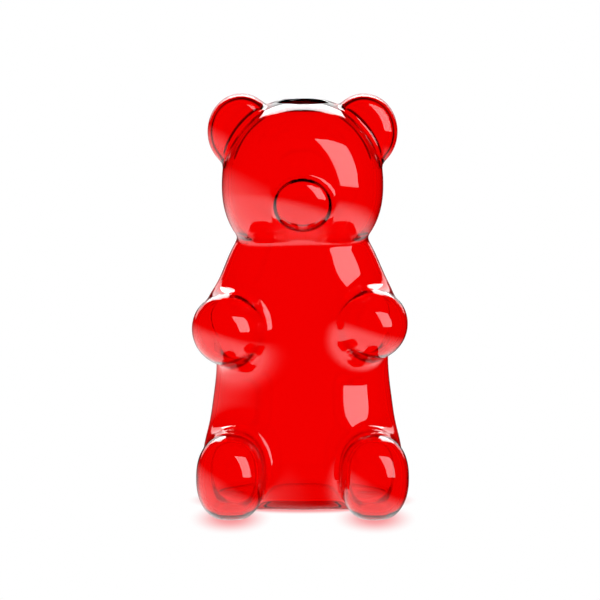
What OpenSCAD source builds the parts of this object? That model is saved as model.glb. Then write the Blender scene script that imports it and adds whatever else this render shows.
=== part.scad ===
// Bear-shaped vase of red blown glass.
// The bear faces -Y and stands on z = 0, with the origin under the middle of its mouth.
// Left and right are the bear's own: its left is +X.

/* [Glass] */
// Thickness of the blown wall
wall = 3; // [2:0.25:4]
// Thickness of the flat bottom
base_t = 3.5; // [3:0.25:6]

/* [Head] */
// Width of the head between the ears and the cheeks
head_w = 79; // [77:0.2:82]
// Depth of the head without the muzzle
head_d = 72; // [70:0.5:74]
// Height of the head's full oval
head_h = 79; // [77:1:82]
// How much higher the head's upper half is than its lower half
crown_h = 2.5; // [1:0.25:3]
// Height of the head's middle above the table
head_z = 157.5; // [157:0.25:158]
// Height of the crease between head and body
neck_z = 132; // [130:0.5:133]
// Width of an ear
ear_w = 33; // [31:0.5:35]
// Height of an ear
ear_h = 36.8; // [35:0.2:38]
// Depth of an ear, front to back
ear_d = 20; // [18:0.5:24]
// Distance between the middles of the ears
ear_gap = 59.8; // [58:0.2:62]
// Height of the ears' middles
ear_z = 183.6; // [182:0.2:185]
// Width of the muzzle's full oval
muzzle_w = 30.8; // [29:0.2:33]
// Depth of the muzzle's full oval, most of it inside the head
muzzle_d = 18; // [17:0.5:21]
// Height of the muzzle's full oval
muzzle_h = 28.8; // [27:0.2:30]
// How far the muzzle stands out of the face
muzzle_out = 4.8; // [4.2:0.1:5.4]
// Height of the muzzle's middle
muzzle_z = 151.2; // [150:0.2:153]

/* [Mouth] */
// Diameter of the open mouth
mouth_dia = 24; // [22:0.5:25]
// Outer diameter of the rounded lip
lip_dia = 30; // [29:0.5:32]
// Height of the lip's top
lip_z = 198.5; // [198:0.25:199]
// Height of the lip ring, from the inside of the crown to the lip's top
lip_h = 7; // [6.5:0.25:8]

/* [Arms] */
// Diameter of the left arm
left_arm_dia = 35; // [33:0.5:37]
// How far the left arm's middle is to the side
left_arm_x = 33.8; // [32:0.2:36]
// Height of the left arm's middle
left_arm_z = 91.6; // [89:0.2:94]
// Diameter of the right arm, which is blown a little larger
right_arm_dia = 36; // [34:0.5:38]
// How far the right arm's middle is to the side
right_arm_x = 36; // [34:0.2:38]
// Height of the right arm's middle
right_arm_z = 89; // [87:0.2:92]
// How far the arms' tips are in front of the mouth's axis
arm_reach = 37; // [36:0.5:42]

/* [Legs] */
// Width of a leg
leg_w = 33.4; // [31:0.2:35]
// Height of a leg's full oval
leg_h = 42.6; // [41:0.2:44]
// Distance between the middles of the legs
leg_gap = 69.8; // [68:0.2:72]
// Height of the legs' middles
leg_z = 19.8; // [19:0.1:20.5]
// How far the legs' tips are in front of the mouth's axis
leg_reach = 60; // [56:0.5:63]

/* [Hidden] */
red = "#e6000a";
lip_red = "#7a0006";    // the lip, drawn deep by the flame
facets = 36;        // sides of a smooth oval
thin = 0.01;        // thickness of the slices that a loft is hulled from
past = 1;           // how far a cut runs past the face that it opens
foot_r = 5;         // rounding where the body turns under to its base
foot_in = 4;        // how far that rounding draws the base in
base_in = 8;        // how far the base disc's edge is inside the body's widest outline
ring_step = 12;     // spacing of the body's rings
head_fullness = 2.2;        // the head is a little squarer than an oval, seen from the front
head_fullness_y = 2.8;      // and squarer still from the side
chin_in = 0.333;    // how much the head's depth narrows from its middle down to the neck
muzzle_tilt = 15;   // how far down the muzzle faces, square to the head's front
arm_tilt_z = 4;     // how much higher an arm starts than it ends
arm_root = 0.82;    // how thick an arm is where it starts, as a part of its tip
leg_root = 0.88;    // the same for a leg
leg_root_y = -5;    // where a leg starts, just in front of the mouth's axis
arm_root_y = -3;    // where an arm starts
lip_r = (lip_dia - mouth_dia) / 4;  // the lip is fully rounded on top
round_fn = 96;      // sides of the lip ring's seat in the crown

// The body's outline: height, half width, half depth
body_rows = [
    [0, 45.6, 28.2], [20, 46.2, 28.4], [40, 45.3, 27.6], [64, 42.5, 25.8], [87, 41.3, 25.1],
    [104, 40.4, 24], [116, 38.4, 22.4], [125, 34.9, 21], [134, 29.6, 19.6]
];

// The row just under z
function row_at(z, i = 0) = i >= len(body_rows) - 2 || z < body_rows[i + 1][0] ? i : row_at(z, i + 1);

// How the outline leans at row i, per millimetre of height
function lean(i) =
    let (a = body_rows[max(i - 1, 0)], b = body_rows[min(i + 1, len(body_rows) - 1)])
    (b - a) / (b[0] - a[0]);

// The outline at any height, on one smooth curve through the rows
function body_at(z) =
    let (
        i = row_at(z),
        a = body_rows[i],
        b = body_rows[i + 1],
        h = b[0] - a[0],
        u = (z - a[0]) / h
    )
    a * (2 * u ^ 3 - 3 * u ^ 2 + 1) + lean(i) * h * (u ^ 3 - 2 * u ^ 2 + u)
    + b * (3 * u ^ 2 - 2 * u ^ 3) + lean(i + 1) * h * (u ^ 3 - u ^ 2);

// How far the base's rounding draws the outline in
function turn_in(z) = z >= foot_r ? 0 : foot_in * (1 - sqrt(1 - (1 - z / foot_r) ^ 2));

module oval(half_w, half_d)
    polygon([for (i = [0 : facets - 1]) [half_w * cos(i * 360 / facets), half_d * sin(i * 360 / facets)]]);

module ball(size) scale(size / 2) sphere(r = 1, $fn = facets);

// How far along v a ball's surface is when its sides are fuller than round, found by halving
function reach(v, near = 0.5, far = 2, steps = 16) =
    let (r = (near + far) / 2, p = head_fullness, q = head_fullness_y)
    steps == 0 ? r :
    pow(r * abs(v[0]), p) + pow(r * abs(v[1]), q) + pow(r * abs(v[2]), p) > 1
        ? reach(v, near, r, steps - 1) : reach(v, r, far, steps - 1);

// Draws a point of the head's ball in, front and back, towards the neck, and lifts the crown
function shape(v, neck, crown) =
    [v[0], v[1] * (1 - chin_in * pow(min(v[2], 0) / neck, 2)), v[2] * (v[2] > 0 ? crown : 1)];

module head_ball(size) {
    neck = (head_z - neck_z) / (head_h / 2);
    crown = 1 + crown_h / (head_h / 2);
    rings = facets / 2;
    points = [
        for (j = [1 : rings - 1], i = [0 : facets - 1])
            let (
                a = i * 360 / facets,
                b = 90 - j * 180 / rings,
                v = [cos(b) * cos(a), cos(b) * sin(a), sin(b)]
            )
            shape(reach(v) * v, neck, crown)
    ];
    last = facets * (rings - 2);
    faces = concat(
        [[for (i = [facets - 1 : -1 : 0]) i]],
        [
            for (j = [0 : rings - 3], i = [0 : facets - 1])
                let (k = (i + 1) % facets)
                [j * facets + i, j * facets + k, (j + 1) * facets + k, (j + 1) * facets + i]
        ],
        [[for (i = [0 : facets - 1]) last + i]]
    );
    scale(size / 2) polyhedron(points, faces);
}

// One thin slice of the body, drawn in by inset
module body_slice(z, inset) {
    size = body_at(z);
    translate([0, 0, z]) linear_extrude(thin) oval(size[1] - inset, size[2] - inset);
}

// The body's filled form from z0 to z1, drawn in by inset and rounded under at its base
module body_form(inset, z0, z1) {
    low = [for (a = [0 : 30 : 60]) z0 + foot_r * (1 - cos(a))];
    steps = ceil((z1 - z0 - foot_r) / ring_step);
    levels = concat(low, [for (i = [0 : steps]) z0 + foot_r + (z1 - z0 - foot_r - thin) * i / steps]);
    for (i = [1 : len(levels) - 1]) {
        hull() {
            for (z = [levels[i - 1], levels[i]]) body_slice(z, inset + turn_in(z - z0));
        }
    }
}

module head_form(inset) {
    translate([0, 0, head_z]) head_ball([head_w, head_d, head_h] - 2 * inset * [1, 1, 1]);
}

module ear_form(side, inset) {
    translate([side * ear_gap / 2, 0, ear_z]) ball([ear_w, ear_d, ear_h] - 2 * inset * [1, 1, 1]);
}

module muzzle_form(inset) {
    translate([0, -head_d / 2, muzzle_z]) rotate([muzzle_tilt, 0, 0])
        translate([0, muzzle_d / 2 - muzzle_out, 0])
            ball([muzzle_w, muzzle_d, muzzle_h] - 2 * inset * [1, 1, 1]);
}

module arm_form(side, inset) {
    r = (side > 0 ? left_arm_dia : right_arm_dia) / 2;
    x = side > 0 ? left_arm_x : -right_arm_x;
    z = side > 0 ? left_arm_z : right_arm_z;
    hull() {
        translate([x - 3 * side, arm_root_y, z + arm_tilt_z]) sphere(r = r * arm_root - inset, $fn = facets);
        translate([x, r - arm_reach, z]) sphere(r = r - inset, $fn = facets);
    }
}

module leg_form(side, inset) {
    size = [leg_w, leg_w, leg_h];
    draw_in = 2 * inset * [1, 1, 1];
    intersection() {
        hull() {
            translate([side * (leg_gap / 2 - 2), leg_root_y, leg_z]) ball(size * leg_root - draw_in);
            translate([side * leg_gap / 2, leg_w / 2 - leg_reach, leg_z]) ball(size - draw_in);
        }
        above(inset);
    }
}

// All the room above height z
module above(z) translate([-100, -100, z]) cube([200, 200, 300]);

// The one air space that runs from the mouth into every limb
module cavity() {
    body_form(wall, base_t, neck_z + past);
    head_form(wall);
    muzzle_form(wall);
    for (side = [-1, 1]) {
        ear_form(side, wall);
        arm_form(side, wall);
        leg_form(side, wall);
    }
}

module base_outline() {
    size = body_at(foot_r);
    oval(size[1] - base_in, size[2] - base_in);
}

module torso() {
    color(red) difference() {
        body_form(0, 0, neck_z);
        cavity();
        translate([0, 0, -past]) linear_extrude(base_t + 2 * past) base_outline();
    }
}

module base_disc() color(red) linear_extrude(base_t) base_outline();

module head() {
    color(red) difference() {
        intersection() {
            head_form(0);
            above(neck_z);
        }
        cavity();
        cylinder(d = lip_dia, h = 2 * lip_z, $fn = round_fn);
    }
}

module mouth_rim() {
    color(lip_red) rotate_extrude($fn = round_fn) translate([mouth_dia / 2, lip_z - lip_h]) {
        square([2 * lip_r, lip_h - lip_r]);
        translate([lip_r, lip_h - lip_r]) circle(r = lip_r, $fn = round_fn);
    }
}

module muzzle() {
    color(red) difference() {
        muzzle_form(0);
        head_form(0);
        cavity();
    }
}

module ear(side) {
    color(red) difference() {
        ear_form(side, 0);
        head_form(0);
        cavity();
    }
}

module arm(side) {
    color(red) difference() {
        arm_form(side, 0);
        body_form(0, 0, neck_z);
        cavity();
    }
}

module leg(side) {
    color(red) difference() {
        leg_form(side, 0);
        body_form(0, 0, neck_z);
        cavity();
    }
}

torso();
base_disc();
head();
mouth_rim();
muzzle();
ear(1);  // left_ear
ear(-1);  // right_ear
arm(1);  // left_arm
arm(-1);  // right_arm
leg(1);  // left_leg
leg(-1);  // right_leg
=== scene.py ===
"""A bear-shaped vase of red blown glass, on a white studio floor.

One smooth glass form is worked out as a distance field, meshed, and parted at the fused joints into
the sections that a glassmaker would gather and join. Lengths inside the field are in millimetres.
"""

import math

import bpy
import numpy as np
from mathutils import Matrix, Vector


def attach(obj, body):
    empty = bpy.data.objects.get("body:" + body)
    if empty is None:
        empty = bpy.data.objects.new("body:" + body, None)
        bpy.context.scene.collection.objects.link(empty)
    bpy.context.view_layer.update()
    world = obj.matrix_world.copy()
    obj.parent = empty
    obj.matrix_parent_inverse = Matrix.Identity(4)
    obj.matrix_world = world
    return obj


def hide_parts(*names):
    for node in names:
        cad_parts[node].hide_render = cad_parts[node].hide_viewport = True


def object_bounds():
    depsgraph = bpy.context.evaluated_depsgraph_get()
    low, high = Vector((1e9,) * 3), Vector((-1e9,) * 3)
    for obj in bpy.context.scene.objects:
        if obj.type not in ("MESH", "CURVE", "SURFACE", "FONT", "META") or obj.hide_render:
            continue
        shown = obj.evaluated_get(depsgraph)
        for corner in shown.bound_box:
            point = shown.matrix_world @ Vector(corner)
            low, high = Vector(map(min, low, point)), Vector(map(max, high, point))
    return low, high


bl_info = {
    "name": "Blown Glass Bear Vase",
    "version": (1, 0, 0),
    "blender": (4, 5, 0),
    "location": "View3D > Sidebar > Glass Bear",
    "description": "Builds a hollow bear-shaped vase of red blown glass, section by section",
    "category": "Add Mesh",
}

import openvdb
from mathutils import Vector

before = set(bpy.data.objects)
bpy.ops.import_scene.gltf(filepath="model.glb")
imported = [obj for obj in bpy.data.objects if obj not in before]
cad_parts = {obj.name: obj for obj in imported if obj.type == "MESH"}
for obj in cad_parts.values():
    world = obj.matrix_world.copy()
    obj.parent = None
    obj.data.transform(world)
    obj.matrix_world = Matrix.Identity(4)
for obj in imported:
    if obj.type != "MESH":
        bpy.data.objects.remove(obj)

cad_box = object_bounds()

MM = 0.001

# Lengths from here on to the property groups are in mm.
FINE_CELL = 1.0     # grid spacing of the final glass mesh
# How much fuller than round each form is, across, front to back and up; 2 is round
HEAD_FULLNESS = (2.2, 2.8, 2.2)
EAR_FULLNESS = (2, 3.2, 2)
LEG_FULLNESS = (2.2, 2.2, 2.3)
MUZZLE_TILT = math.radians(15)      # how far down the muzzle faces, square to the head's front
CHIN_IN = 0.333     # how much the head's depth narrows from its middle down to the neck
CHIN_IN_MOST = 1.5  # where that stops, below the neck and inside the body
CROWN_HIGH = 2.5    # how much higher the head's upper half is than its lower half
ARM_ROOT = 0.82     # how thick an arm is where it starts, as a part of its tip
LEG_ROOT = 0.88     # the same for a leg
SQUARISH = 0.4      # how a limb's cutter is squared, so that it takes in the whole limb
WELD_GAP = 0.02     # air left between two sections so that their faces never coincide

# Where an arm and a leg start inside the body, sideways from the tip's place, forwards and up
ARM_START = (-3, -3, 4)
LEG_START = (-2, -5, 0)
# How far out from each joint its fillet reaches
ARM_FILLET = 17
LEG_FILLET = 14
EAR_FILLET = 4
MUZZLE_FILLET = 3
NECK_FILLET = 5
BODY_INTO_HEAD = 4  # how far the body's top is inside the head, above its last row
# How far each rounded edge reaches
BODY_TOP_EDGE = 3
BODY_FOOT_EDGE = 4
LEG_FOOT_EDGE = 1.5
HOLLOW_FLOOR_EDGE = 4
LIP_EDGE = 1.5

# The body's outline: height, half width, half depth
BODY_ROWS = np.array([
    (0, 45.6, 28.2), (20, 46.2, 28.4), (40, 45.3, 27.6), (64, 42.5, 25.8), (87, 41.3, 25.1),
    (104, 40.4, 24), (116, 38.4, 22.4), (125, 34.9, 21), (134, 29.6, 19.6),
])


# ---------------------------------------------------------------- sizes and looks

def length(name, text, mm):
    return bpy.props.FloatProperty(name=name, description=text, default=mm * MM, unit="LENGTH")


def size3(name, text, mm):
    return bpy.props.FloatVectorProperty(
        name=name, description=text, default=[v * MM for v in mm], size=3, subtype="XYZ", unit="LENGTH")


def hex_colour(name, text, value):
    return bpy.props.StringProperty(name=name, description=text, default=value)


class BEAR_PG_sizes(bpy.types.PropertyGroup):
    wall: length("Wall", "Thickness of the blown wall", 3)
    base: length("Base", "Thickness of the flat bottom", 3.5)
    head: size3("Head", "Width, depth and height of the head's full oval", (79, 72, 79))
    head_z: length("Head height", "Height of the head's middle", 157.5)
    neck_z: length("Neck height", "Height of the crease between head and body", 132)
    ear: size3("Ear", "Width, depth and height of an ear", (33, 20, 36.8))
    ear_gap: length("Ear spacing", "Distance between the middles of the ears", 59.8)
    ear_z: length("Ear height", "Height of the ears' middles", 183.6)
    muzzle: size3("Muzzle", "Width, depth and height of the muzzle's full oval", (30.8, 18, 28.8))
    muzzle_out: length("Muzzle reach", "How far the muzzle stands out of the face", 4.8)
    muzzle_z: length("Muzzle height", "Height of the muzzle's middle", 151.2)
    mouth: length("Mouth", "Diameter of the open mouth", 24)
    left_arm: length("Left arm", "Diameter of the left arm", 35)
    left_arm_at: size3(
        "Left arm's tip", "Sideways place, reach and height of the left arm", (33.8, -37, 91.6))
    right_arm: length("Right arm", "Diameter of the right arm, blown a little larger", 36)
    right_arm_at: size3(
        "Right arm's tip", "Sideways place, reach and height of the right arm", (-36, -37, 89))
    leg: size3("Leg", "Width, depth and height of a leg's full oval", (33.4, 33.4, 42.6))
    leg_gap: length("Leg spacing", "Distance between the middles of the legs", 69.8)
    leg_z: length("Leg height", "Height of the legs' middles", 19.8)
    leg_reach: length("Leg reach", "How far a leg's tip is in front of the mouth's axis", 60)


class BEAR_PG_looks(bpy.types.PropertyGroup):
    red: hex_colour("Red glass", "What a metre of the red glass lets through", "#fe0002")
    # The lip's deeper red is painted shade: denser glass round the mouth that makes the opening read dark,
    # standing in for the shade seen down into it.
    lip: hex_colour("Lip glass", "What the lip's glass lets through, drawn deep by the flame", "#a00000")
    floor: hex_colour("Floor", "The white sweep that the vase stands on", "#ffffff")
    glow: hex_colour("Glow", "The red light that the glass throws on the sweep around its foot", "#f99a9d")


class BEAR_PG_studio(bpy.types.PropertyGroup):
    distance: bpy.props.FloatProperty(
        name="Camera distance", description="From the lens to the mouth's axis, along the floor",
        default=2.2, unit="LENGTH")
    height: bpy.props.FloatProperty(
        name="Camera height", description="Height of the lens above the floor", default=0.4565, unit="LENGTH")
    lens: bpy.props.FloatProperty(
        name="Focal length", description="Focal length on a 36 mm sensor", default=272, unit="CAMERA")
    aim: size3("Aim", "The point that the camera looks at", (-1.25, 0, 100.1))


# ---------------------------------------------------------------- the glass form as a field

def norm(v):
    return np.sqrt(np.sum(v * v, axis=-1))


def oval(v, radii, fullness=None):
    """Distance from an oval's surface, nearly true close to it. v is measured from its middle.

    fullness holds a power for each axis: over 2, its sides are squarer than round.
    """
    if fullness is None:
        q = v / radii
        k0 = norm(q)
        return k0 * (k0 - 1) / np.maximum(norm(q / radii), 1e-6)
    q = np.maximum(np.abs(v / radii), 1e-6)
    power = np.array(fullness)
    mean = power.mean()
    k0 = np.sum(q ** power, axis=-1) ** (1 / mean)
    return (k0 - 1) * k0 ** (mean - 1) / np.maximum(norm(power / mean * q ** (power - 1) / radii), 1e-6)


def rod(p, a, b, radii, root, fullness=None):
    """An oval swept from a, where its size is the part root of the whole, to b."""
    a, b = np.array(a), np.array(b)
    t = np.clip(((p - a) @ (b - a)) / ((b - a) @ (b - a)), 0, 1)[..., None]
    return oval(p - a - t * (b - a), radii * (root + (1 - root) * t), fullness)


def join(a, b, k):
    """The union of two forms, with a fillet that starts where they are k apart."""
    h = np.maximum(k - np.abs(a - b), 0) / k
    return np.minimum(a, b) - h ** 3 * k / 6


def common(a, b, k):
    """The overlap of two forms, with its edge rounded."""
    return -join(-a, -b, k)


def body_outline(z):
    """Half width and half depth at height z, on one smooth curve through the rows."""
    rows = BODY_ROWS
    z = np.clip(z, rows[0, 0], rows[-1, 0])
    lean = np.gradient(rows[:, 1:], rows[:, 0], axis=0)
    i = np.clip(np.searchsorted(rows[:, 0], z, side="right") - 1, 0, len(rows) - 2)
    h = rows[i + 1, 0] - rows[i, 0]
    u = ((z - rows[i, 0]) / h)[..., None]
    h = h[..., None]
    return (rows[i, 1:] * (2 * u ** 3 - 3 * u ** 2 + 1) + lean[i] * h * (u ** 3 - 2 * u ** 2 + u)
            + rows[i + 1, 1:] * (3 * u ** 2 - 2 * u ** 3) + lean[i + 1] * h * (u ** 3 - u ** 2))


FAR_INSIDE = -50    # a field value that no cut reaches
SLOPE_STEP = 0.02   # how far apart the field is read for its slope, in mm, to either side


class Form:
    """The whole vase as a field, in mm: negative inside the glass."""

    def __init__(self, s):
        self.s = {k: np.array(getattr(s, k)) / MM for k in s.bl_rna.properties.keys()
                  if k not in ("rna_type", "name")}

    def arm(self, p, name):
        s = self.s
        x, tip, z = s[name + "_at"]
        r = s[name] / 2
        start = (x + ARM_START[0] * np.sign(x), ARM_START[1], z + ARM_START[2])
        return rod(p, start, (x, tip + r, z), np.array([r, r, r]), ARM_ROOT)

    def leg(self, q):
        """Either leg, for points mirrored to the bear's left."""
        s = self.s
        x, z = s["leg_gap"] / 2, s["leg_z"]
        start = (x + LEG_START[0], LEG_START[1], z + LEG_START[2])
        tip = (x, s["leg"][1] / 2 - s["leg_reach"], z)
        return rod(q, start, tip, s["leg"] / 2, LEG_ROOT, LEG_FULLNESS)

    def filled(self, p):
        """The bear's outer form, as if it were solid."""
        s = self.s
        q = np.stack([np.abs(p[..., 0]), p[..., 1], p[..., 2]], axis=-1)
        body = oval(q[..., :2], body_outline(p[..., 2]))
        body = common(body, p[..., 2] - BODY_ROWS[-1, 0] - BODY_INTO_HEAD, BODY_TOP_EDGE)
        body = common(body, -p[..., 2], BODY_FOOT_EDGE)
        head = self.head(q)
        muzzle = oval(self.tilted(q - self.muzzle_middle()), s["muzzle"] / 2)
        ear = oval(q - [s["ear_gap"] / 2, 0, s["ear_z"]], s["ear"] / 2, EAR_FULLNESS)
        body = join(body, self.arm(p, "left_arm"), ARM_FILLET)
        body = join(body, self.arm(p, "right_arm"), ARM_FILLET)
        body = join(body, self.leg(q), LEG_FILLET)
        head = join(head, ear, EAR_FILLET)
        head = join(head, muzzle, MUZZLE_FILLET)
        return join(body, head, NECK_FILLET)

    def muzzle_middle(self):
        """The middle of the muzzle's full oval, just inside the face."""
        s = self.s
        along = np.array([0, -math.cos(MUZZLE_TILT), -math.sin(MUZZLE_TILT)])
        face = np.array([0, -s["head"][1] / 2, s["muzzle_z"]])
        return face + (s["muzzle_out"] - s["muzzle"][1] / 2) * along

    def tilted(self, v):
        """v in the muzzle's own axes: it faces a little down, square to the head's front."""
        c, t = math.cos(MUZZLE_TILT), math.sin(MUZZLE_TILT)
        return np.stack([v[..., 0], c * v[..., 1] + t * v[..., 2], c * v[..., 2] - t * v[..., 1]], axis=-1)

    def head(self, p):
        """The head's oval, drawn in front and back below its middle."""
        s = self.s
        v = p - [0, 0, s["head_z"]]
        low = np.minimum(v[..., 2], 0) / (s["head_z"] - s["neck_z"])
        narrow = 1 - CHIN_IN * np.minimum(low ** 2, CHIN_IN_MOST)
        stretch = np.where(v[..., 2] > 0, 1 + CROWN_HIGH / (s["head"][2] / 2), 1)
        v = np.stack([v[..., 0], v[..., 1] / narrow, v[..., 2] / stretch], axis=-1)
        # Where the depth is narrowed, the field's rate is kept between the two directions' rates.
        return oval(v, s["head"] / 2, HEAD_FULLNESS) * (1 + narrow) / 2

    def glass(self, p):
        """Negative inside the glass wall itself, with the mouth open and the underside flat."""
        s = self.s
        z = p[..., 2]
        filled = self.filled(p)
        outside = common(filled, -z, LEG_FOOT_EDGE)
        hollow = common(filled + s["wall"], s["base"] - z, HOLLOW_FLOOR_EDGE)
        wall = np.maximum(outside, -hollow)
        hole = np.where(z > s["head_z"], s["mouth"] / 2 - norm(p[..., :2]), FAR_INSIDE)
        return common(wall, hole, LIP_EDGE)

    def slope(self, p):
        """The surface's outward normal at each point, and how fast the field grows along it."""
        e = SLOPE_STEP * np.eye(3)
        g = np.stack([self.glass(p + d) - self.glass(p - d) for d in e], axis=-1)
        return g / np.maximum(norm(g)[:, None], 1e-9), norm(g) / (2 * SLOPE_STEP)


# ---------------------------------------------------------------- meshes

def mesh_object(name, points, faces):
    """A mesh object from points in metres and equal-length faces."""
    mesh = bpy.data.meshes.new(name)
    faces = np.asarray(faces)
    mesh.vertices.add(len(points))
    mesh.vertices.foreach_set("co", np.asarray(points, dtype=np.float32).ravel())
    mesh.loops.add(faces.size)
    mesh.loops.foreach_set("vertex_index", faces.ravel().astype(np.int32))
    mesh.polygons.add(len(faces))
    mesh.polygons.foreach_set("loop_start", np.arange(0, faces.size, faces.shape[1], dtype=np.int32))
    mesh.update(calc_edges=True)
    obj = bpy.data.objects.new(name, mesh)
    bpy.context.scene.collection.objects.link(obj)
    return obj


MARGIN_CELLS = 4    # empty cells that the grid has round the vase
SETTLE_TURNS = 4
LEAST_RATE = 0.3    # the field's rate is taken as no less than this, and a step as no more, in mm, than
MOST_STEP = 0.5     # this, so that no point jumps off


def blow_glass(form):
    """The whole hollow vase as one closed mesh."""
    cell = FINE_CELL
    low = np.array(cad_box[0]) / MM - MARGIN_CELLS * cell
    high = np.array(cad_box[1]) / MM + MARGIN_CELLS * cell
    axes = [np.arange(low[i], high[i], cell) for i in range(3)]
    field = np.empty([len(a) for a in axes], dtype=np.float32)
    yz = np.stack(np.meshgrid(axes[1], axes[2], indexing="ij"), axis=-1)
    for i, x in enumerate(axes[0]):
        p = np.concatenate([np.full(yz.shape[:2] + (1,), x), yz], axis=-1)
        field[i] = form.glass(p)
    grid = openvdb.FloatGrid(10.0)
    grid.copyFromArray(field)
    points, _, quads = grid.convertToPolygons(isovalue=0.0, adaptivity=0.0)
    points = points * cell + low
    # Each point settles on the true surface.
    for _ in range(SETTLE_TURNS):
        n, rate = form.slope(points)
        step = form.glass(points) / np.maximum(rate, LEAST_RATE)
        points = points - np.clip(step, -MOST_STEP, MOST_STEP)[:, None] * n
    obj = mesh_object("glass_form", points * MM, quads)
    obj.hide_render = True
    return obj


def prism(middle, along, up, half_w, half_h, length_mm, corners=1.0, sides=72):
    """A closed cutter from middle and onwards, in mm. Its outline is an oval, or squarer with corners < 1."""
    along, up = Vector(along).normalized(), Vector(up).normalized()
    across = up.cross(along)
    turns = [2 * math.pi * (i + 0.5) / sides for i in range(sides)]
    ring = [[math.copysign(abs(v) ** corners, v) for v in (math.cos(a), math.sin(a))] for a in turns]
    middle = Vector(middle)
    points = [middle + across * half_w * c + up * half_h * s + along * d
              for d in (0, length_mm) for c, s in ring]
    mesh = bpy.data.meshes.new("cutter")
    faces = [[i, (i + 1) % sides, sides + (i + 1) % sides, sides + i] for i in range(sides)]
    faces += [list(range(sides))[::-1], list(range(sides, 2 * sides))]
    mesh.from_pydata([tuple(p * MM) for p in points], [], faces)
    obj = bpy.data.objects.new("cutter", mesh)
    bpy.context.scene.collection.objects.link(obj)
    weld = mesh.attributes.new("weld", "FLOAT", "FACE")
    weld.data.foreach_set("value", [1.0] * len(mesh.polygons))
    return obj


# The cutters' sizes and places, in mm
PAST = 100              # how far a cutter runs on, and how wide it is, where it only has to clear the glass
RIM_START = 20          # the lip's cutter starts this far above the head's middle
MUZZLE_ROOM = 1         # how much wider than the muzzle its cutter is, all round
MUZZLE_START = (0, -10)     # where the muzzle's cutter starts, sideways and forwards
EAR_START = 37.5        # distance of an ear's cut from the head's middle
# A limb's cutter: where it starts, with the height taken from the limb's middle, the way that it runs,
# and its half width and half height
ARM_CUT = {"at": (19.4, -10, 1), "along": (0.884, -0.467, 0), "half": (27, 22)}
LEG_CUT = {"at": (26, -16.4, 0.5), "along": (0.62, -0.785, 0), "half": (28, 23)}
BASE_HALF = (37.7, 19.4)    # half width and half depth of the base disc
BASE_CUT_TOP = 15       # between the base disc and the lowest glass above it
BASE_CUT_LOW = -5       # under the base disc
UP = (0, 0, 1)
BACK = (0, 1, 0)
FRONT = (0, -1, 0)


class Cutters:
    """Where the sections part from each other. grow widens a cutter, in mm."""

    def __init__(self, form):
        self.s = form.s

    def head(self, grow):
        return prism((0, 0, self.s["neck_z"] - grow), UP, BACK, PAST, PAST, PAST)

    def mouth_rim(self, grow):
        r = self.s["mouth"] / 2 + self.s["wall"] + grow
        return prism((0, 0, self.s["head_z"] + RIM_START), UP, BACK, r, r, PAST)

    def muzzle(self, grow):
        w, _, h = self.s["muzzle"] / 2 + MUZZLE_ROOM + grow
        return prism(MUZZLE_START + (self.s["muzzle_z"],), FRONT, UP, w, h, PAST)

    def ear(self, side, grow):
        out = Vector((side * self.s["ear_gap"] / 2, 0, self.s["ear_z"] - self.s["head_z"]))
        start = Vector((0, 0, self.s["head_z"])) + out.normalized() * (EAR_START - grow)
        return prism(start, out, BACK, PAST, PAST, PAST)

    def limb(self, side, z, cut, grow):
        """A squarish cutter that takes in a limb whose middle is at height z."""
        along = Vector(cut["along"])
        along.x *= side
        start = Vector(cut["at"])
        start.x *= side
        start.z += z
        w, h = cut["half"]
        return prism(start - along * grow, along, UP, w + grow, h + grow, PAST, SQUARISH)

    def arm(self, side, grow):
        z = self.s["left_arm_at" if side > 0 else "right_arm_at"][2]
        return self.limb(side, z, ARM_CUT, grow)

    def leg(self, side, grow):
        return self.limb(side, self.s["leg_z"], LEG_CUT, grow)

    def base_disc(self, grow):
        w, d = BASE_HALF
        return prism((0, 0, BASE_CUT_LOW), UP, BACK, w + grow, d + grow, BASE_CUT_TOP - BASE_CUT_LOW)


def boolean(obj, cutter, operation):
    """Replaces obj's mesh with its boolean with the cutter, which is used up."""
    mod = obj.modifiers.new("part", "BOOLEAN")
    mod.operation = operation
    mod.solver = "MANIFOLD"
    mod.object = cutter
    depsgraph = bpy.context.evaluated_depsgraph_get()
    mesh = bpy.data.meshes.new_from_object(obj.evaluated_get(depsgraph), depsgraph=depsgraph)
    obj.modifiers.clear()
    old = obj.data
    obj.data = mesh
    bpy.data.meshes.remove(old)
    bpy.data.objects.remove(cutter)


def section(name, take, leave, material, operation="INTERSECT"):
    """One section of the vase: the glass inside the cutter take, or outside it, less the cutters in leave."""
    whole = studio_glass()
    obj = bpy.data.objects.new(name + "_glass", whole.data.copy())
    bpy.context.scene.collection.objects.link(obj)
    boolean(obj, take, operation)
    for cutter in leave:
        boolean(obj, cutter, "DIFFERENCE")
    finish_glass(obj)
    obj.data.materials.clear()
    obj.data.materials.append(material)
    obj.data.name = obj.name
    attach(obj, "root")
    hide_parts(name)
    return obj


def finish_glass(obj):
    """Shades the skin by the form's own slope, and the fused faces flat."""
    mesh = obj.data
    count = len(mesh.vertices)
    points = np.empty(count * 3, dtype=np.float32)
    mesh.vertices.foreach_get("co", points)
    skin, _ = CACHE["form"].slope(points.reshape(-1, 3).astype(float) / MM)
    weld = np.empty(len(mesh.polygons), dtype=np.float32)
    mesh.attributes["weld"].data.foreach_get("value", weld)
    flat = np.empty(len(mesh.polygons) * 3, dtype=np.float32)
    mesh.polygons.foreach_get("normal", flat)
    flat = flat.reshape(-1, 3)
    loops = np.empty(len(mesh.loops), dtype=np.int32)
    mesh.loops.foreach_get("vertex_index", loops)
    totals = np.empty(len(mesh.polygons), dtype=np.int32)
    mesh.polygons.foreach_get("loop_total", totals)
    face = np.repeat(np.arange(len(totals)), totals)
    normals = np.where(weld[face][:, None] > 0.5, flat[face], skin[loops])
    mesh.polygons.foreach_set("use_smooth", [True] * len(mesh.polygons))
    mesh.normals_split_custom_set(normals.tolist())


CACHE = {}


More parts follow.
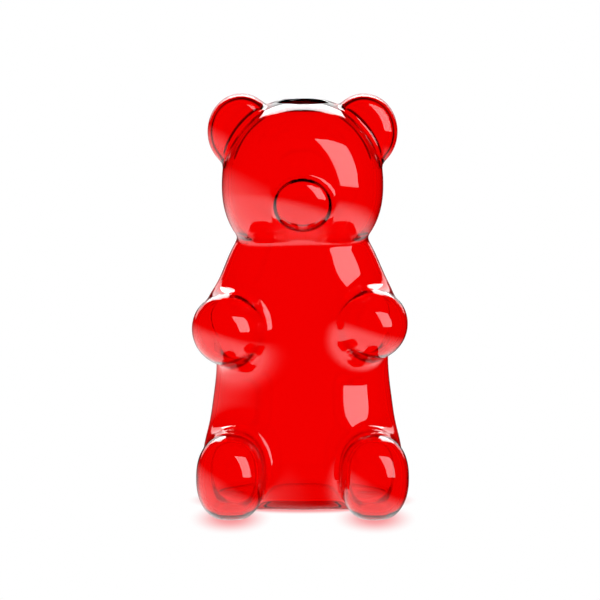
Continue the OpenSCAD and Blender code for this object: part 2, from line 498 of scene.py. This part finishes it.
def studio_glass():
    """The uncut vase, blown once and kept for every section."""
    if "whole" not in CACHE:
        CACHE["form"] = Form(bpy.context.scene.bear_sizes)
        CACHE["whole"] = blow_glass(CACHE["form"])
        mesh = CACHE["whole"].data
        weld = mesh.attributes.new("weld", "FLOAT", "FACE")
        weld.data.foreach_set("value", [0.0] * len(mesh.polygons))
    return CACHE["whole"]


def cutters():
    studio_glass()
    return Cutters(CACHE["form"])


# ---------------------------------------------------------------- materials

def linear(value):
    """A hex sRGB colour as linear RGBA."""
    parts = [int(value[i:i + 2], 16) / 255 for i in (1, 3, 5)]
    return [c / 12.92 if c <= 0.04045 else ((c + 0.055) / 1.055) ** 2.4 for c in parts] + [1.0]


def node(tree, kind, settings=None, inputs=None):
    """Adds a node, sets its properties, and sets or links its inputs."""
    n = tree.nodes.new(kind)
    for key, value in (settings or {}).items():
        setattr(n, key, value)
    for key, value in (inputs or {}).items():
        if isinstance(value, bpy.types.NodeSocket):
            tree.links.new(value, n.inputs[key])
        else:
            n.inputs[key].default_value = value
    return n


GLASS_IOR = 1.5
RIPPLE_MM = 14      # spacing of the faint swells that blowing leaves in a wall
SWELL_MM = 0.03     # height of those swells
GLASS_DENSITY = 1500    # absorption per metre of a colour that the glass doesn't let through at all


def blown_glass(name, colour):
    """Soda-lime glass, blown and fire-polished: mirror-smooth, coloured through its whole thickness."""
    if name in bpy.data.materials:
        return bpy.data.materials[name]
    mat = bpy.data.materials.new(name)
    mat.use_nodes = True
    tree = mat.node_tree
    tree.nodes.clear()
    weld = node(tree, "ShaderNodeAttribute", {"attribute_name": "weld"})
    # A fused joint has the same glass on both sides, so light goes straight through it.
    ior = node(tree, "ShaderNodeMapRange", {}, {
        "Value": weld.outputs["Fac"], "To Min": GLASS_IOR, "To Max": 1.0})
    place = node(tree, "ShaderNodeTexCoord")
    swell = node(tree, "ShaderNodeTexNoise", {}, {
        "Vector": place.outputs["Object"], "Scale": 1 / (RIPPLE_MM * MM), "Detail": 1.0})
    bump = node(tree, "ShaderNodeBump", {}, {
        "Height": swell.outputs["Fac"], "Distance": SWELL_MM * MM, "Strength": 1.0})
    shader = node(tree, "ShaderNodeBsdfPrincipled", {}, {
        "Base Color": (1, 1, 1, 1), "Roughness": 0.0, "Transmission Weight": 1.0,
        "IOR": ior.outputs["Result"], "Normal": bump.outputs["Normal"]})
    volume = node(tree, "ShaderNodeVolumeAbsorption", {}, {
        "Color": linear(colour), "Density": GLASS_DENSITY})
    node(tree, "ShaderNodeOutputMaterial", {}, {
        "Surface": shader.outputs["BSDF"], "Volume": volume.outputs["Volume"]})
    return mat


def red_glass():
    return blown_glass("selenium_red_blown_glass", bpy.context.scene.bear_looks.red)


# Denser red glass for the mouth's lip: painted shade that darkens the open mouth.
def lip_glass_with_painted_shade():
    return blown_glass("lip_glass_painted_mouth_shade", bpy.context.scene.bear_looks.lip)


# ---------------------------------------------------------------- operators

class BEAR_OT_torso(bpy.types.Operator):
    """Build the body wall"""
    bl_idname = "bear.torso"
    bl_label = "Torso"

    def execute(self, context):
        c = cutters()
        leave = [limb(side, 0) for limb in (c.arm, c.leg) for side in (-1, 1)] + [c.base_disc(0)]
        section("torso", c.head(0), leave, red_glass(), "DIFFERENCE")
        return {"FINISHED"}


class BEAR_OT_base(bpy.types.Operator):
    """Build the thick flat bottom"""
    bl_idname = "bear.base"
    bl_label = "Base"

    def execute(self, context):
        section("base_disc", cutters().base_disc(-WELD_GAP), [], red_glass())
        return {"FINISHED"}


class BEAR_OT_head(bpy.types.Operator):
    """Build the head wall"""
    bl_idname = "bear.head"
    bl_label = "Head"

    def execute(self, context):
        c = cutters()
        leave = [c.ear(side, 0) for side in (-1, 1)] + [c.muzzle(0), c.mouth_rim(0)]
        section("head", c.head(-WELD_GAP), leave, red_glass())
        return {"FINISHED"}


class BEAR_OT_mouth(bpy.types.Operator):
    """Build the rounded lip of the mouth"""
    bl_idname = "bear.mouth"
    bl_label = "Mouth rim"

    def execute(self, context):
        section("mouth_rim", cutters().mouth_rim(-WELD_GAP), [], lip_glass_with_painted_shade())
        return {"FINISHED"}


class BEAR_OT_muzzle(bpy.types.Operator):
    """Build the dome on the face"""
    bl_idname = "bear.muzzle"
    bl_label = "Muzzle"

    def execute(self, context):
        section("muzzle", cutters().muzzle(-WELD_GAP), [], red_glass())
        return {"FINISHED"}


class BEAR_OT_ears(bpy.types.Operator):
    """Build both ears"""
    bl_idname = "bear.ears"
    bl_label = "Ears"

    def execute(self, context):
        for side, name in ((1, "left_ear"), (-1, "right_ear")):
            section(name, cutters().ear(side, -WELD_GAP), [cutters().mouth_rim(0)], red_glass())
        return {"FINISHED"}


class BEAR_OT_arms(bpy.types.Operator):
    """Build both arms"""
    bl_idname = "bear.arms"
    bl_label = "Arms"

    def execute(self, context):
        for side, name in ((1, "left_arm"), (-1, "right_arm")):
            section(name, cutters().arm(side, -WELD_GAP), [], red_glass())
        return {"FINISHED"}


class BEAR_OT_legs(bpy.types.Operator):
    """Build both legs"""
    bl_idname = "bear.legs"
    bl_label = "Legs"

    def execute(self, context):
        for side, name in ((1, "left_leg"), (-1, "right_leg")):
            section(name, cutters().leg(side, -WELD_GAP), [cutters().base_disc(0)], red_glass())
        return {"FINISHED"}


# ---------------------------------------------------------------- the stage

FLOOR_REACH = 6         # from the vase to the sweep's edge, in metres
FLOOR_DROP = 0.0002     # how far the sweep lies under the glass, in metres, so that the two never coincide

# Where red light falls on the sweep, in mm: the middle, the half width and depth, and, as parts of those,
# where it starts to fade and where it ends
GLOWS = [
    ((0, 0), (46, 28), 0.9, 1.25),
    ((35, -44), (14, 26), 0.2, 1.5),
    ((-35, -44), (14, 26), 0.2, 1.5),
]


def floor_material(looks):
    """A lit white paper sweep, tinted by the red light that comes down through the glass."""
    mat = bpy.data.materials.new("white_paper_sweep")
    mat.use_nodes = True
    tree = mat.node_tree
    tree.nodes.clear()
    place = node(tree, "ShaderNodeTexCoord").outputs["Object"]
    glow = 0.0
    for middle, half, inner, outer in GLOWS:
        ring = node(tree, "ShaderNodeVectorMath", {"operation": "SUBTRACT"}, {
            0: place, 1: (middle[0] * MM, middle[1] * MM, 0)}).outputs["Vector"]
        ring = node(tree, "ShaderNodeVectorMath", {"operation": "DIVIDE"}, {
            0: ring, 1: (half[0] * MM, half[1] * MM, 1)}).outputs["Vector"]
        ring = node(tree, "ShaderNodeVectorMath", {"operation": "LENGTH"}, {0: ring}).outputs["Value"]
        near = node(tree, "ShaderNodeMapRange", {"interpolation_type": "SMOOTHSTEP"}, {
            "Value": ring, "From Min": inner, "From Max": outer, "To Min": 1.0, "To Max": 0.0})
        glow = node(tree, "ShaderNodeMath", {"operation": "MAXIMUM"}, {
            0: glow, 1: near.outputs["Result"]}).outputs[0]
    colour = node(tree, "ShaderNodeMix", {"data_type": "RGBA"}, {
        "Factor": glow, "A": linear(looks.floor), "B": linear(looks.glow)})
    lit = node(tree, "ShaderNodeEmission", {}, {"Color": colour.outputs["Result"], "Strength": 1.0})
    # What the gloss shows of the sweep is part of the room's light, which fades softly to the horizon.
    clear = node(tree, "ShaderNodeBsdfTransparent")
    shown = node(tree, "ShaderNodeMixShader", {}, {
        0: seen_in_gloss(tree), 1: lit.outputs["Emission"], 2: clear.outputs["BSDF"]})
    node(tree, "ShaderNodeOutputMaterial", {}, {"Surface": shown.outputs["Shader"]})
    return mat


def times(tree, a, b):
    return node(tree, "ShaderNodeMath", {"operation": "MULTIPLY"}, {0: a, 1: b}).outputs[0]


def plus(tree, a, b):
    return node(tree, "ShaderNodeMath", {"operation": "ADD"}, {0: a, 1: b}).outputs[0]


def seen_in_gloss(tree):
    """1 for rays that have just been mirrored, 0 for those that look straight or through the glass."""
    path = node(tree, "ShaderNodeLightPath")
    straight = node(tree, "ShaderNodeMath", {"operation": "SUBTRACT"}, {
        0: 1.0, 1: path.outputs["Is Transmission Ray"]}).outputs[0]
    return times(tree, path.outputs["Is Glossy Ray"], straight)


def towards(azimuth, elevation):
    """A direction: azimuth 0 is behind the vase as the camera sees it, 90 is to the right."""
    az, el = math.radians(azimuth), math.radians(elevation)
    return Vector((math.sin(az) * math.cos(el), math.cos(az) * math.cos(el), math.sin(el)))


def sky_panel(tree, direction, corners, soft):
    """1 where a direction of the sky lies inside a flat panel with these four corners."""
    corners = [towards(*c) for c in corners]
    middle = sum(corners, Vector())
    mask = 1.0
    for i, corner in enumerate(corners):
        edge = corner.cross(corners[(i + 1) % 4]).normalized()
        if edge.dot(middle) < 0:
            edge = -edge
        depth = node(tree, "ShaderNodeVectorMath", {"operation": "DOT_PRODUCT"}, {
            0: direction, 1: tuple(edge)}).outputs["Value"]
        inside = node(tree, "ShaderNodeMapRange", {"interpolation_type": "SMOOTHSTEP"}, {
            "Value": depth, "From Min": -soft, "From Max": soft, "To Min": 0.0, "To Max": 1.0})
        mask = times(tree, mask, inside.outputs["Result"])
    return mask


SWEEP = 1.9             # brightness of the lit sweep in the glass's gloss
DARK_ROOM = 0.002       # brightness of the room around the lamps there
SWEEP_UP = (0.3, 0, 1)  # the way that the sweep fades, so that more of it shows on the left
SWEEP_FULL = -0.68      # how far along that way it is still fully bright
SWEEP_END = -0.17       # and where it ends

# Each lamp: brightness, edge softness, and the azimuth and elevation of its four corners
LAMPS = [
    (9.0, 0.04, ((-32, 55), (32, 55), (32, 22), (-32, 22))),
    (1.5, 0.03, ((-40, 22), (40, 22), (40, 3), (-40, 3))),
    (4.8, 0.008, ((167, 47), (118, 34), (113, -5), (144, -3))),
]


def light_room():
    """White all round the glass, with a dark room and bright lamps that only its gloss picks up."""
    world = bpy.data.worlds.new("studio")
    bpy.context.scene.world = world
    world.use_nodes = True
    tree = world.node_tree
    tree.nodes.clear()
    direction = node(tree, "ShaderNodeTexCoord").outputs["Generated"]
    # The white sweep below the horizon, brighter on the left
    height = node(tree, "ShaderNodeVectorMath", {"operation": "DOT_PRODUCT"}, {
        0: direction, 1: SWEEP_UP}).outputs["Value"]
    gloss = node(tree, "ShaderNodeMapRange", {"interpolation_type": "SMOOTHSTEP"}, {
        "Value": height, "From Min": SWEEP_FULL, "From Max": SWEEP_END,
        "To Min": SWEEP, "To Max": DARK_ROOM}).outputs["Result"]
    for strength, soft, corners in LAMPS:
        gloss = plus(tree, gloss, times(tree, sky_panel(tree, direction, corners, soft), strength))
    strength = node(tree, "ShaderNodeMix", {"data_type": "FLOAT"}, {
        "Factor": seen_in_gloss(tree), "A": 1.0, "B": gloss}).outputs["Result"]
    back = node(tree, "ShaderNodeBackground", {}, {"Color": (1, 1, 1, 1), "Strength": strength})
    node(tree, "ShaderNodeOutputWorld", {}, {"Surface": back.outputs["Background"]})


class BEAR_OT_stage(bpy.types.Operator):
    """Set up the white sweep, the lamps and the camera"""
    bl_idname = "bear.stage"
    bl_label = "Stage"

    def execute(self, context):
        scene = context.scene
        studio = scene.bear_studio
        corners = [(x * FLOOR_REACH, y * FLOOR_REACH, -FLOOR_DROP)
                   for x, y in ((-1, -1), (1, -1), (1, 1), (-1, 1))]
        floor = mesh_object("floor", corners, [[0, 1, 2, 3]])
        floor.data.materials.append(floor_material(scene.bear_looks))
        light_room()
        data = bpy.data.cameras.new("camera")
        data.lens = studio.lens
        data.clip_start = 0.05
        camera = bpy.data.objects.new("camera", data)
        scene.collection.objects.link(camera)
        aim = Vector(studio.aim)
        camera.location = (aim.x, -studio.distance, studio.height)
        camera.rotation_euler = (aim - camera.location).to_track_quat("-Z", "Y").to_euler()
        scene.camera = camera
        scene.view_settings.view_transform = "Standard"
        scene.cycles.max_bounces = 32
        scene.cycles.transmission_bounces = 32
        scene.cycles.glossy_bounces = 16
        return {"FINISHED"}


OPERATORS = (BEAR_OT_torso, BEAR_OT_base, BEAR_OT_head, BEAR_OT_mouth, BEAR_OT_muzzle, BEAR_OT_ears,
             BEAR_OT_arms, BEAR_OT_legs, BEAR_OT_stage)


class BEAR_PT_panel(bpy.types.Panel):
    """Lists the vase's sections and its stage"""
    bl_idname = "BEAR_PT_panel"
    bl_label = "Glass Bear"
    bl_space_type = "VIEW_3D"
    bl_region_type = "UI"
    bl_category = "Glass Bear"

    def draw(self, context):
        for operator in OPERATORS:
            self.layout.operator(operator.bl_idname)


CLASSES = (BEAR_PG_sizes, BEAR_PG_looks, BEAR_PG_studio) + OPERATORS + (BEAR_PT_panel,)


def register():
    for cls in CLASSES:
        bpy.utils.register_class(cls)
    bpy.types.Scene.bear_sizes = bpy.props.PointerProperty(type=BEAR_PG_sizes)
    bpy.types.Scene.bear_looks = bpy.props.PointerProperty(type=BEAR_PG_looks)
    bpy.types.Scene.bear_studio = bpy.props.PointerProperty(type=BEAR_PG_studio)


def unregister():
    del bpy.types.Scene.bear_studio, bpy.types.Scene.bear_looks, bpy.types.Scene.bear_sizes
    for cls in reversed(CLASSES):
        bpy.utils.unregister_class(cls)


def main():
    register()
    for operator in OPERATORS:
        group, name = operator.bl_idname.split(".")
        getattr(getattr(bpy.ops, group), name)()
    bpy.data.objects.remove(CACHE.pop("whole"))


if __name__ == "__main__":
    main()
